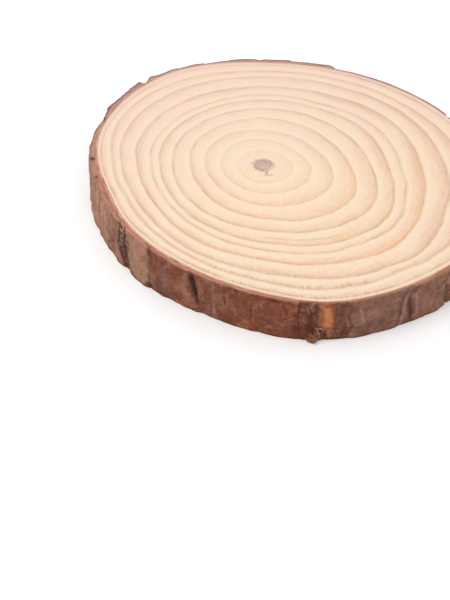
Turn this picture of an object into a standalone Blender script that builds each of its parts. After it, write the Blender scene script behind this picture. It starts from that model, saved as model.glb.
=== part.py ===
import math
import random

import bmesh
import bpy

# Round slice of a softwood trunk with its bark left on, lying flat on its sawn underside.
# Lengths are in metres here unless a name says mm. Clock angles go round the pith,
# 0 toward +X and 90 toward +Y.

mm = 0.001
woodColour = (0.90, 0.67, 0.49)
woodRoughness = 0.62

sliceThickness = 22.0 * mm

# Radius of the sawn wood in mm, every 15 degrees round the pith.
woodRadiusMm = [
    104.0, 99.6, 95.7, 91.7, 88.6, 86.5, 85.9, 87.8,
    89.0, 86.8, 83.8, 80.2, 75.2, 71.6, 71.5, 71.8,
    73.2, 76.6, 82.0, 89.3, 93.7, 97.8, 103.0, 105.6,
]

# Thickness of the bark in mm at these angles, straight between them. Toward the underside its
# ups and downs even out.
barkEdge = [
    (0.0, 1.7), (12.0, 1.5), (22.0, 1.3), (38.0, 1.3), (46.0, 1.4), (50.0, 1.5),
    (55.0, 1.3), (60.0, 1.0), (63.6, 1.1), (65.2, 2.7), (67.0, 3.0), (71.0, 2.9),
    (75.0, 2.5), (78.6, 2.3), (79.6, 3.0), (84.0, 3.1), (87.8, 2.9), (88.8, 2.1),
    (90.2, 2.1), (91.4, 2.9), (96.5, 3.0), (99.5, 2.5), (101.2, 1.7), (105.5, 1.2),
    (107.5, 1.0), (109.0, 1.7), (112.0, 1.9), (114.5, 1.3), (116.5, 1.4), (118.0, 2.1),
    (122.0, 2.1), (125.0, 2.4), (127.4, 3.4), (128.6, 2.8), (130.0, 1.6), (131.3, 1.2),
    (132.0, 4.2), (133.0, 4.2), (135.0, 3.7), (138.0, 3.1), (141.0, 3.1), (145.0, 3.7),
    (149.0, 4.0), (150.4, 3.2), (153.5, 2.4), (155.2, 1.8), (157.0, 2.0), (160.0, 2.6),
    (165.0, 3.4), (170.0, 3.8), (175.0, 4.2), (180.0, 4.5), (187.0, 4.2), (195.0, 3.9),
    (205.0, 3.6), (211.0, 3.2), (216.0, 2.8), (220.0, 2.4), (225.0, 2.5), (228.0, 2.7),
    (235.0, 2.6), (244.0, 2.7), (250.0, 2.1), (260.0, 2.1), (275.0, 2.2), (277.0, 1.9),
    (279.0, 1.1), (282.0, 0.7), (285.0, 0.6), (287.0, 1.0), (295.0, 1.2), (301.0, 1.2),
    (305.0, 1.6), (308.0, 2.0), (312.0, 2.2), (316.0, 2.5), (321.0, 2.0), (330.0, 2.1),
    (345.0, 1.9),
]
unevenAtUnderside = 0.35
evenOutDeg = 3.0
thinnestBarkMm = 0.5

# Cracks between the bark plates: angle at the top face, drift in degrees down to the
# underside, highest and lowest share of the height, half width and depth in mm, and how
# far in mm the plate past the crack stands out from the one before it.
cracks = [
    (64.2, 0.5, 1.0, 0.00, 0.8, 0.3, 0.0),
    (79.1, -0.6, 1.0, 0.20, 0.8, 0.3, 0.0),
    (89.5, 0.8, 1.0, 0.00, 0.9, 0.3, 0.0),
    (101.0, -0.5, 1.0, 0.00, 1.0, 0.3, 0.0),
    (108.0, 0.9, 1.0, 0.00, 0.9, 0.3, 0.0),
    (117.2, -0.8, 1.0, 0.00, 0.9, 0.3, 0.0),
    (124.0, 0.7, 1.0, 0.00, 0.8, 0.2, 0.0),
    (140.0, -0.8, 1.0, 0.00, 1.1, 0.2, 0.0),
    (151.0, 0.6, 1.0, 0.00, 0.9, 0.3, 0.0),
    (166.3, -0.4, 1.0, 0.00, 0.8, 0.3, 0.0),
    (176.2, 1.0, 1.0, 0.20, 0.7, 0.4, 0.0),
    (195.0, 0.6, 1.0, 0.25, 1.0, 0.3, 0.3),
    (211.5, 1.5, 1.0, 0.45, 1.0, 0.9, 0.0),
    (214.6, 1.5, 1.0, 0.40, 1.0, 1.0, 0.0),
    (213.4, 3.6, 0.6, 0.05, 2.0, 2.4, 0.0),
    (219.5, 1.0, 0.8, 0.30, 0.9, 0.3, 0.3),
    (228.1, 0.3, 1.0, 0.25, 0.7, 0.5, -0.5),
    (245.2, 2.6, 0.92, 0.33, 1.3, 2.0, 0.0),
    (257.6, 0.8, 0.8, 0.50, 0.7, 0.3, 0.0),
    (265.0, 0.4, 0.7, 0.30, 0.7, 0.3, -0.2),
    (278.2, 0.6, 1.0, 0.10, 0.8, 0.4, -0.2),
    (281.8, 0.6, 1.0, 0.15, 0.9, 0.5, 0.2),
    (290.0, 1.8, 0.6, 0.10, 0.8, 0.4, 0.4),
    (304.6, -0.8, 1.0, 0.10, 0.8, 0.3, -0.3),
    (306.9, 1.6, 1.0, 0.10, 1.1, 0.6, 0.3),
    (317.4, 2.0, 0.6, 0.00, 1.1, 0.8, -0.3),
]

# Round the rest of the rim the cracks fall by chance, in plates of these widths.
chanceCracksFrom = 325.0
chanceCracksTo = 385.0
narrowestPlateDeg = 4.5
widestPlateDeg = 11.0
shallowestCrackMm = 0.3
deepestCrackMm = 0.9
largestStepMm = 0.6
plateSeed = 11

# A plate's edge rises over this width and levels out over this angle. A crack that stops
# short of a face runs out over this share of the height.
plateReachDeg = 9.0
levelReachDeg = 2.7
stepWidthMm = 0.7
runOutShare = 0.25

# On one side the bark stands out further toward the underside: angle and half width in
# degrees, and how far in mm.
flares = [(192.0, 16.0, 2.8), (222.0, 14.0, 2.1)]

# Bark grain: shallow upright ribs of a few sizes, fainter where the bark is thin, on a
# wall that bellies out a little.
ribCounts = [31, 53, 89]
ribHeightsMm = [0.15, 0.11, 0.07]
ribLeans = [0.9, -1.3, 1.9]
ribTwist = 3.0
ribWanderCount = 5
fullRibBarkMm = 2.5
bellyMm = 0.4

stepsRound = 420
sharpEdgeDeg = 40.0
levelShares = [0.0, 0.04, 0.16, 0.30, 0.44, 0.58, 0.72, 0.85, 0.96, 1.0]


def alongClock(valuesMm, angleDeg):
    """Smooth value at any angle from values at even steps of the clock."""
    count = len(valuesMm)
    place = (angleDeg % 360.0) / 360.0 * count
    first = int(place)
    share = place - first
    before = valuesMm[(first - 1) % count]
    start = valuesMm[first % count]
    end = valuesMm[(first + 1) % count]
    after = valuesMm[(first + 2) % count]
    bend = 2.0 * start + (end - before) * share
    bend += (2.0 * before - 5.0 * start + 4.0 * end - after) * share ** 2
    bend += (3.0 * start - before - 3.0 * end + after) * share ** 3
    return 0.5 * bend


def straightMm(angleDeg):
    """Bark thickness read off straight lines between the listed angles."""
    angle = angleDeg % 360.0
    before = (barkEdge[-1][0] - 360.0, barkEdge[-1][1])
    for after in barkEdge + [(barkEdge[0][0] + 360.0, barkEdge[0][1])]:
        if angle <= after[0]:
            share = (angle - before[0]) / (after[0] - before[0])
            return before[1] + (after[1] - before[1]) * share
        before = after
    return before[1]


def angleGap(firstDeg, secondDeg):
    """Signed difference of two angles, from -180 to 180 degrees."""
    return (firstDeg - secondDeg + 180.0) % 360.0 - 180.0


def barkThicknessMm(angleDeg, height):
    """Thickness of the bark with its ups and downs."""
    edge = straightMm(angleDeg)
    even = (edge + straightMm(angleDeg - evenOutDeg) + straightMm(angleDeg + evenOutDeg)) / 3.0
    uneven = unevenAtUnderside + (1.0 - unevenAtUnderside) * height
    return even + (edge - even) * uneven


def addChanceCracks(found):
    """The known cracks with seeded ones where the rim has none listed."""
    chance = random.Random(plateSeed)
    every = list(found)
    angle = chanceCracksFrom
    while angle < chanceCracksTo:
        drift = chance.uniform(-1.8, 1.8)
        halfWidth = chance.uniform(0.8, 1.3)
        depth = chance.uniform(shallowestCrackMm, deepestCrackMm)
        step = chance.uniform(-largestStepMm, largestStepMm)
        every.append((angle % 360.0, drift, 1.0, 0.0, halfWidth, depth, step))
        angle += chance.uniform(narrowestPlateDeg, widestPlateDeg)
    return every


def fade(value, low, high):
    """Smooth rise from 0 at low to 1 at high."""
    share = min(max((value - low) / (high - low), 0.0), 1.0)
    return share * share * (3.0 - 2.0 * share)


def crackReliefMm(allCracks, angleDeg, height, radiusMm):
    """Rise or fall of the bark at one spot, from the cracks and the plates beside them."""
    deepest = 0.0
    level = 0.0
    for crackAngle, drift, top, bottom, halfWidth, depth, step in allCracks:
        gapDeg = angleGap(angleDeg, crackAngle + drift * (1.0 - height))
        if abs(gapDeg) > plateReachDeg:
            continue
        gapMm = math.radians(gapDeg) * radiusMm
        ends = 1.0
        if bottom > 0.0:
            ends *= fade(height, bottom - 0.5 * runOutShare, bottom + 0.5 * runOutShare)
        if top < 1.0:
            ends *= 1.0 - fade(height, top - 0.5 * runOutShare, top + 0.5 * runOutShare)
        deepest = max(deepest, depth * ends * math.exp(-(gapMm / halfWidth) ** 2))
        nearness = 1.0 - fade(abs(gapDeg), levelReachDeg, plateReachDeg)
        level += 0.5 * step * math.tanh(gapMm / stepWidthMm) * nearness
    return level - deepest


def ribsMm(angleDeg, height):
    """Shallow upright ribs of the bark."""
    turn = math.radians(angleDeg)
    wander = math.sin(ribWanderCount * turn) + ribTwist * height
    total = 0.0
    for count, ribHeight, lean in zip(ribCounts, ribHeightsMm, ribLeans):
        total += ribHeight * math.sin(count * turn + lean * wander)
    return total


def barkRadius(allCracks, angleDeg, height):
    """Outer radius of the bark in metres."""
    woodMm = alongClock(woodRadiusMm, angleDeg)
    barkMm = barkThicknessMm(angleDeg, height)
    outMm = barkMm + bellyMm * math.sin(math.pi * height)
    outMm += ribsMm(angleDeg, height) * min(barkMm / fullRibBarkMm, 1.0)
    outMm += crackReliefMm(allCracks, angleDeg, height, woodMm)
    for flareAngle, halfWidth, flareOut in flares:
        flareGap = angleGap(angleDeg, flareAngle)
        outMm += flareOut * (1.0 - height) * math.exp(-(flareGap / halfWidth) ** 2)
    return (woodMm + max(outMm, thinnestBarkMm)) * mm


def makeMaterial(name, colour, roughness):
    material = bpy.data.materials.new(name)
    material.use_nodes = True
    shader = material.node_tree.nodes["Principled BSDF"]
    shader.inputs["Base Color"].default_value = (*colour, 1.0)
    shader.inputs["Roughness"].default_value = roughness
    shader.inputs["Metallic"].default_value = 0.0
    material.diffuse_color = (*colour, 1.0)
    return material


def middleOf(work):
    """Middle of the slice seen from above."""
    acrossX = [vertex.co.x for vertex in work.verts]
    acrossY = [vertex.co.y for vertex in work.verts]
    return (min(acrossX) + max(acrossX)) / 2.0, (min(acrossY) + max(acrossY)) / 2.0


def buildSlice():
    """One closed solid: two flat sawn faces joined by the bark."""
    allCracks = addChanceCracks(cracks)
    work = bmesh.new()
    rings = []
    for share in levelShares:
        ring = []
        for step in range(stepsRound):
            angleDeg = 360.0 * step / stepsRound
            radius = barkRadius(allCracks, angleDeg, share)
            turn = math.radians(angleDeg)
            place = (radius * math.cos(turn), radius * math.sin(turn), share * sliceThickness)
            ring.append(work.verts.new(place))
        rings.append(ring)
    for lower, upper in zip(rings, rings[1:]):
        for step in range(stepsRound):
            ahead = (step + 1) % stepsRound
            work.faces.new((lower[step], lower[ahead], upper[ahead], upper[step]))
    underPith = work.verts.new((0.0, 0.0, 0.0))
    topPith = work.verts.new((0.0, 0.0, sliceThickness))
    for step in range(stepsRound):
        ahead = (step + 1) % stepsRound
        work.faces.new((underPith, rings[0][ahead], rings[0][step]))
        work.faces.new((topPith, rings[-1][step], rings[-1][ahead]))
    bmesh.ops.triangulate(work, faces=work.faces[:])
    middleX, middleY = middleOf(work)
    for vertex in work.verts:
        vertex.co.x -= middleX
        vertex.co.y -= middleY
    mesh = bpy.data.meshes.new("wood_slice")
    work.to_mesh(mesh)
    work.free()
    mesh.shade_smooth()
    mesh.set_sharp_from_angle(angle=math.radians(sharpEdgeDeg))
    return mesh


for leftover in list(bpy.data.objects):
    bpy.data.objects.remove(leftover, do_unlink=True)

woodSlice = bpy.data.objects.new("wood_slice", buildSlice())
woodSlice.data.materials.append(makeMaterial("wood", woodColour, woodRoughness))
bpy.context.scene.collection.objects.link(woodSlice)
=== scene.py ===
import math
import random

import bpy
import numpy as np
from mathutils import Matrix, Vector, noise


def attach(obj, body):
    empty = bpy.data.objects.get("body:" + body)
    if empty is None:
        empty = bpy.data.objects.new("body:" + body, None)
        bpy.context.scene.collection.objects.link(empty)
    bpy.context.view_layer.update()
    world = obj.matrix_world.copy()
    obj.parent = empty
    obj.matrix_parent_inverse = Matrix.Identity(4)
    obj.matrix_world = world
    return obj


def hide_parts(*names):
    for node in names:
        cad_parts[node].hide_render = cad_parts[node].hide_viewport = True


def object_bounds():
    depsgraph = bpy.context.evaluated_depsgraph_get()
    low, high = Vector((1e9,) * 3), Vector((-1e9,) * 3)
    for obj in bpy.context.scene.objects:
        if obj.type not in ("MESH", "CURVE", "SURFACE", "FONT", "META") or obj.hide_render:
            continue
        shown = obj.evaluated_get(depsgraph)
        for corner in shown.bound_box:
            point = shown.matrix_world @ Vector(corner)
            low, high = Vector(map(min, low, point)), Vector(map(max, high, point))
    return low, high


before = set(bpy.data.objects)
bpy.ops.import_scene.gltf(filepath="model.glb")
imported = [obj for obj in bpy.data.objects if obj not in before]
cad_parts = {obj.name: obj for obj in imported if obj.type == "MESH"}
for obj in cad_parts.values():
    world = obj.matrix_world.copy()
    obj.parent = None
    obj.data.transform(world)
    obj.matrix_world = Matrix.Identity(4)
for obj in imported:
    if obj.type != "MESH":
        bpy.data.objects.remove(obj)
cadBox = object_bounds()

# Wood slice: a disc of sawn softwood and the coat of bark round it.
# Sizes are in mm unless a name says otherwise. Angles go round the pith, 0 toward +X, 90 toward +Y.

mm = 0.001
scene = bpy.context.scene

# The slice's outline, with the solid's numbers. Only its cracks are cut narrower and shallower than
# in the solid, and the deepest one slants a little more.
rim = dict(
    thickness=(cadBox[1].z - cadBox[0].z) / mm,
    woodRadius=[
        104, 99.6, 95.7, 91.7, 88.6, 86.5, 85.9, 87.8,
        89, 86.8, 83.8, 80.2, 75.2, 71.6, 71.5, 71.8,
        73.2, 76.6, 82, 89.3, 93.7, 97.8, 103, 105.6,
    ],
    # angle and thickness of the bark
    barkEdge=[
        (0, 1.7), (12, 1.5), (22, 1.3), (38, 1.3), (46, 1.4), (50, 1.5), (55, 1.3), (60, 1),
        (63.6, 1.1), (65.2, 2.7), (67, 3), (71, 2.9), (75, 2.5), (78.6, 2.3), (79.6, 3), (84, 3.1),
        (87.8, 2.9), (88.8, 2.1), (90.2, 2.1), (91.4, 2.9), (96.5, 3), (99.5, 2.5), (101.2, 1.7),
        (105.5, 1.2), (107.5, 1), (109, 1.7), (112, 1.9), (114.5, 1.3), (116.5, 1.4), (118, 2.1),
        (122, 2.1), (125, 2.4), (127.4, 3.4), (128.6, 2.8), (130, 1.6), (131.3, 1.2), (132, 4.2),
        (133, 4.2), (135, 3.7), (138, 3.1), (141, 3.1), (145, 3.7), (149, 4), (150.4, 3.2),
        (153.5, 2.4), (155.2, 1.8), (157, 2), (160, 2.6), (165, 3.4), (170, 3.8), (175, 4.2),
        (180, 4.5), (187, 4.2), (195, 3.9), (205, 3.6), (211, 3.2), (216, 2.8), (220, 2.4), (225, 2.5),
        (228, 2.7), (235, 2.6), (244, 2.7), (250, 2.1), (260, 2.1), (275, 2.2), (277, 1.9), (279, 1.1),
        (282, 0.7), (285, 0.6), (287, 1), (295, 1.2), (301, 1.2), (305, 1.6), (308, 2), (312, 2.2),
        (316, 2.5), (321, 2), (330, 2.1), (345, 1.9),
    ],
    unevenAtUnderside=0.35, evenOut=3,
    thinnestBark=0.5,
    # angle at the top, drift down to the underside, top and bottom share, half width, depth, step
    cracks=[
        (64.2, 0.5, 1, 0, 0.8, 0.3, 0), (79.1, -0.6, 1, 0.2, 0.8, 0.3, 0),
        (89.5, 0.8, 1, 0, 0.9, 0.3, 0), (101, -0.5, 1, 0, 1, 0.3, 0), (108, 0.9, 1, 0, 0.9, 0.3, 0),
        (117.2, -0.8, 1, 0, 0.9, 0.3, 0), (124, 0.7, 1, 0, 0.8, 0.2, 0),
        (140, -0.8, 1, 0, 1.1, 0.2, 0), (151, 0.6, 1, 0, 0.9, 0.3, 0),
        (166.3, -0.4, 1, 0, 0.8, 0.3, 0), (176.2, 1, 1, 0.2, 0.7, 0.4, 0),
        (195, 0.6, 1, 0.25, 1, 0.3, 0.3), (211.5, 1.5, 1, 0.45, 1, 0.9, 0),
        (214.6, 1.5, 1, 0.4, 1, 1, 0), (212.8, 4.2, 0.6, 0.05, 1.7, 2.3, 0),
        (219.5, 1, 0.8, 0.3, 0.9, 0.3, 0.3), (228.1, 0.3, 1, 0.25, 0.7, 0.5, -0.5),
        (245.2, 2.6, 0.92, 0.33, 1.3, 2, 0), (257.6, 0.8, 0.8, 0.5, 0.7, 0.3, 0),
        (265, 0.4, 0.7, 0.3, 0.7, 0.3, -0.2), (278.2, 0.6, 1, 0.1, 0.8, 0.4, -0.2),
        (281.8, 0.6, 1, 0.15, 0.9, 0.5, 0.2), (290, 1.8, 0.6, 0.1, 0.8, 0.4, 0.4),
        (304.6, -0.8, 1, 0.1, 0.8, 0.3, -0.3), (306.9, 1.6, 1, 0.1, 1.1, 0.6, 0.3),
        (317.4, 2, 0.6, 0, 1.1, 0.8, -0.3),
    ],
    chanceFrom=325, chanceTo=385, plateWidths=(4.5, 11),
    chanceDepths=(0.3, 0.9), chanceStep=0.6, plateSeed=11,
    plateReach=9, levelReach=2.7, stepWidth=0.7, runOut=0.25, crackShare=0.8,
    # where the bark stands out toward the underside: angle, half width in degrees, mm
    flares=[(192, 16, 2.8), (222, 14, 2.1)],
    ribCounts=[31, 53, 89], ribHeights=[0.15, 0.11, 0.07], ribLeans=[0.9, -1.3, 1.9],
    ribTwist=3, ribWander=5, fullRibBark=2.5,
    belly=0.4,
    levels=[0, 0.04, 0.16, 0.3, 0.44, 0.58, 0.72, 0.85, 0.96, 1], stepsRound=420,
)


def roundTheClock(values, angle):
    # smooth value at any angle from values at even steps
    values = np.asarray(values, float)
    count = len(values)
    place = (np.asarray(angle, float) % 360) / 360 * count
    first = np.floor(place).astype(int)
    share = place - first
    before = values[(first - 1) % count]
    start = values[first % count]
    end = values[(first + 1) % count]
    after = values[(first + 2) % count]
    bend = 2 * start + (end - before) * share
    bend = bend + (2 * before - 5 * start + 4 * end - after) * share ** 2
    bend = bend + (3 * start - before - 3 * end + after) * share ** 3
    return 0.5 * bend


def angleGap(first, second):
    return (first - second + 180) % 360 - 180


def fade(value, low, high):
    share = np.clip((value - low) / (high - low), 0, 1)
    return share * share * (3 - 2 * share)


def allCracks():
    chance = random.Random(rim["plateSeed"])
    every = list(rim["cracks"])
    angle = rim["chanceFrom"]
    while angle < rim["chanceTo"]:
        drift = chance.uniform(-1.8, 1.8)
        halfWidth = chance.uniform(0.8, 1.3)
        depth = chance.uniform(*rim["chanceDepths"])
        step = chance.uniform(-rim["chanceStep"], rim["chanceStep"])
        every.append((angle % 360, drift, 1, 0, halfWidth, depth, step))
        angle += chance.uniform(*rim["plateWidths"])
    return every


def crackRelief(angle, height, radius):
    # returns the plates' rise and the cracks' depth
    deepest = np.zeros_like(angle)
    level = np.zeros_like(angle)
    for crackAngle, drift, top, bottom, halfWidth, depth, step in allCracks():
        gapDeg = angleGap(angle, crackAngle + drift * (1 - height))
        near = np.abs(gapDeg) <= rim["plateReach"]
        gap = np.radians(gapDeg) * radius
        ends = np.ones_like(angle)
        half = 0.5 * rim["runOut"]
        if bottom > 0:
            ends = ends * fade(height, bottom - half, bottom + half)
        if top < 1:
            ends = ends * (1 - fade(height, top - half, top + half))
        cut = rim["crackShare"] * depth * ends * np.exp(-np.abs(gap / halfWidth) ** 3)
        deepest = np.where(near, np.maximum(deepest, cut), deepest)
        nearness = 1 - fade(np.abs(gapDeg), rim["levelReach"], rim["plateReach"])
        level = level + 0.5 * step * np.tanh(gap / rim["stepWidth"]) * nearness * near
    return level, deepest


def ribs(angle, height):
    turn = np.radians(angle)
    wander = np.sin(rim["ribWander"] * turn) + rim["ribTwist"] * height
    total = np.zeros_like(angle)
    for count, size, lean in zip(rim["ribCounts"], rim["ribHeights"], rim["ribLeans"]):
        total = total + size * np.sin(count * turn + lean * wander)
    return total


def barkThickness(angle, height=1):
    # the bark's ups and downs, evened out toward the underside
    angles, values = np.array(rim["barkEdge"]).T
    edge = np.interp(angle, angles, values, period=360)
    even = edge + np.interp(angle - rim["evenOut"], angles, values, period=360)
    even = (even + np.interp(angle + rim["evenOut"], angles, values, period=360)) / 3
    uneven = rim["unevenAtUnderside"] + (1 - rim["unevenAtUnderside"]) * height
    return even + (edge - even) * uneven


def barkOut(angle, height):
    # how far the bark stands out from the wood, and how deep its cracks are there
    wood = roundTheClock(rim["woodRadius"], angle)
    bark = barkThickness(angle, height)
    level, deepest = crackRelief(angle, height, wood)
    out = bark + rim["belly"] * np.sin(np.pi * height) + level - deepest
    out = out + ribs(angle, height) * np.minimum(bark / rim["fullRibBark"], 1)
    for flareAngle, halfWidth, flareOut in rim["flares"]:
        flare = np.exp(-(angleGap(angle, flareAngle) / halfWidth) ** 2)
        out = out + flareOut * (1 - height) * flare
    return np.maximum(out, rim["thinnestBark"]), deepest


def pithPlace():
    # the pith stands where the outline's box is centred on the frame
    steps = rim["stepsRound"]
    angle, height = np.meshgrid(np.arange(steps) * 360 / steps, rim["levels"])
    radius = roundTheClock(rim["woodRadius"], angle) + barkOut(angle, height)[0]
    x = radius * np.cos(np.radians(angle))
    y = radius * np.sin(np.radians(angle))
    lowest, highest = cadBox
    middle = ((lowest + highest) / 2) / mm
    return middle.x - (x.min() + x.max()) / 2, middle.y - (y.min() + y.max()) / 2


pithX, pithY = pithPlace()
print("pith at", round(pithX, 2), round(pithY, 2), "mm")


def addObject(name, data):
    thing = bpy.data.objects.new(name, data)
    scene.collection.objects.link(thing)
    return thing


# Camera

camera = dict(
    fromPith=(-17.8, -363, 308.9),  # mm, height above the surface it lies on
    lookDown=45.95,  # degrees below level
    lens=60,
)


def makeCamera():
    data = bpy.data.cameras.new("camera")
    data.lens = camera["lens"]
    data.clip_start = 0.01
    eye = addObject("camera", data)
    x, y, z = camera["fromPith"]
    eye.location = ((x + pithX) * mm, (y + pithY) * mm, z * mm)
    eye.rotation_euler = (math.radians(90 - camera["lookDown"]), 0, 0)
    scene.camera = eye


makeCamera()
print("camera set")


# Node helpers

class nodeBench:
    def __init__(self, name):
        self.material = bpy.data.materials.new(name)
        self.material.use_nodes = True
        self.tree = self.material.node_tree
        self.shader = self.tree.nodes["Principled BSDF"]
        self.way = None

    def plug(self, value, socket):
        if isinstance(value, bpy.types.NodeSocket):
            self.tree.links.new(value, socket)
        elif socket.type == "RGBA":
            socket.default_value = (*value, 1)
        else:
            socket.default_value = value

    def attribute(self, name, kind="Fac"):
        node = self.tree.nodes.new("ShaderNodeAttribute")
        node.attribute_name = name
        return node.outputs[kind]

    def calc(self, kind, *values, clamp=False):
        node = self.tree.nodes.new("ShaderNodeMath")
        node.operation = kind
        node.use_clamp = clamp
        for value, socket in zip(values, node.inputs):
            self.plug(value, socket)
        return node.outputs[0]

    def chain(self, kind, values, clamp):
        total = values[0]
        for value in values[1:-1]:
            total = self.calc(kind, total, value)
        return self.calc(kind, total, values[-1], clamp=clamp)

    def times(self, *values, clamp=False):
        return self.chain("MULTIPLY", values, clamp)

    def plus(self, *values, clamp=False):
        return self.chain("ADD", values, clamp)

    def most(self, *values, clamp=False):
        return self.chain("MAXIMUM", values, clamp)

    def centred(self, value):
        return self.calc("SUBTRACT", value, 0.5)

    def vector(self, kind, *values):
        node = self.tree.nodes.new("ShaderNodeVectorMath")
        node.operation = kind
        sockets = [node.inputs["Vector"], node.inputs[1]]
        if kind == "SCALE":
            sockets[1] = node.inputs["Scale"]
        for value, socket in zip(values, sockets):
            self.plug(value, socket)
        return node.outputs["Value" if kind in ("DOT_PRODUCT", "LENGTH") else "Vector"]

    def join(self, x, y, z):
        node = self.tree.nodes.new("ShaderNodeCombineXYZ")
        for value, socket in zip((x, y, z), node.inputs):
            self.plug(value, socket)
        return node.outputs[0]

    def smooth(self, value, low, high, outLow=0, outHigh=1):
        node = self.tree.nodes.new("ShaderNodeMapRange")
        node.interpolation_type = "SMOOTHSTEP"
        for number, socket in zip((value, low, high, outLow, outHigh), node.inputs):
            self.plug(number, socket)
        return node.outputs[0]

    def grain(self, place, scale, detail=2, rough=0.5):
        node = self.tree.nodes.new("ShaderNodeTexNoise")
        self.plug(place, node.inputs["Vector"])
        self.plug(scale, node.inputs["Scale"])
        self.plug(detail, node.inputs["Detail"])
        self.plug(rough, node.inputs["Roughness"])
        return node.outputs["Fac"]

    def polarGrain(self, turns, along, scale, detail=2, rough=0.5):
        # noise that keeps its own scale round the pith and along a second measure
        place = self.vector("SCALE", self.way, turns)
        lift = self.join(0, 0, self.times(along, scale))
        return self.grain(self.vector("ADD", place, lift), 1, detail, rough)

    def lookUp(self, value, rows):
        # the three numbers in the row of a table that a share from 0 to 1 falls in
        node = self.tree.nodes.new("ShaderNodeValToRGB")
        node.color_ramp.interpolation = "CONSTANT"
        points = node.color_ramp.elements
        while len(points) < len(rows):
            points.new(0.5)
        for number, row in enumerate(rows):
            points[number].position = number / len(rows)
            points[number].color = (*row, 1)
        self.plug(value, node.inputs["Fac"])
        split = self.tree.nodes.new("ShaderNodeSeparateColor")
        self.plug(node.outputs["Color"], split.inputs[0])
        return split.outputs[:3]

    def blend(self, share, first, second, kind="MIX"):
        node = self.tree.nodes.new("ShaderNodeMix")
        node.data_type = "RGBA"
        node.blend_type = kind
        self.plug(share, node.inputs["Factor"])
        self.plug(first, node.inputs[6])
        self.plug(second, node.inputs[7])
        return node.outputs[2]

    def shade(self, colour, tone):
        # multiply a colour by a number
        return self.blend(1, colour, self.join(tone, tone, tone), "MULTIPLY")

    def wash(self, colour, share, first, second):
        # tint a colour, from one tint to another
        return self.blend(1, colour, self.blend(share, first, second), "MULTIPLY")

    def toward(self, angle, low, high):
        # 1 on the side of this angle, fading to 0 away from it
        turn = math.radians(angle)
        facing = self.vector("DOT_PRODUCT", self.way, (math.cos(turn), math.sin(turn), 0))
        return self.smooth(facing, low, high)

    def coat(self, colour, rough, gloss):
        self.plug(colour, self.shader.inputs["Base Color"])
        self.plug(rough, self.shader.inputs["Roughness"])
        self.plug(gloss, self.shader.inputs["Specular IOR Level"])

    def bump(self, height, strength, distance):
        node = self.tree.nodes.new("ShaderNodeBump")
        self.plug(height, node.inputs["Height"])
        self.plug(strength, node.inputs["Strength"])
        self.plug(distance, node.inputs["Distance"])
        self.plug(node.outputs[0], self.shader.inputs["Normal"])


def store(mesh, name, values, kind="FLOAT"):
    layer = mesh.attributes.new(name, kind, "POINT")
    field = "value" if kind == "FLOAT" else "vector"
    layer.data.foreach_set(field, np.ascontiguousarray(values, dtype=np.float32).ravel())


def placePiece(name, places, faces, sheet, material):
    mesh = bpy.data.meshes.new(name)
    mesh.from_pydata((np.asarray(places) * mm).tolist(), [], faces)
    mesh.materials.append(material)
    mesh.shade_smooth()
    mesh.set_sharp_from_angle(angle=math.radians(50))
    unwrap = mesh.uv_layers.new(name="OFBake")
    unwrap.data.foreach_set("uv", np.array(sheet, dtype=np.float32).ravel())
    return addObject(name, mesh)


def band(first, second, columns):
    # quads between two rows of points that go all the way round
    every = [(column, (column + 1) % columns) for column in range(columns)]
    return [(first + here, second + here, second + ahead, first + ahead) for here, ahead in every]


def noiseAt(x, y, z, octaves):
    places = np.stack([x.ravel(), y.ravel(), z.ravel()], 1)
    values = [noise.fractal(Vector(place), 1, 2, octaves) for place in places]
    return np.array(values).reshape(x.shape)


# Sawn wood: the disc with its rings

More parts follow.
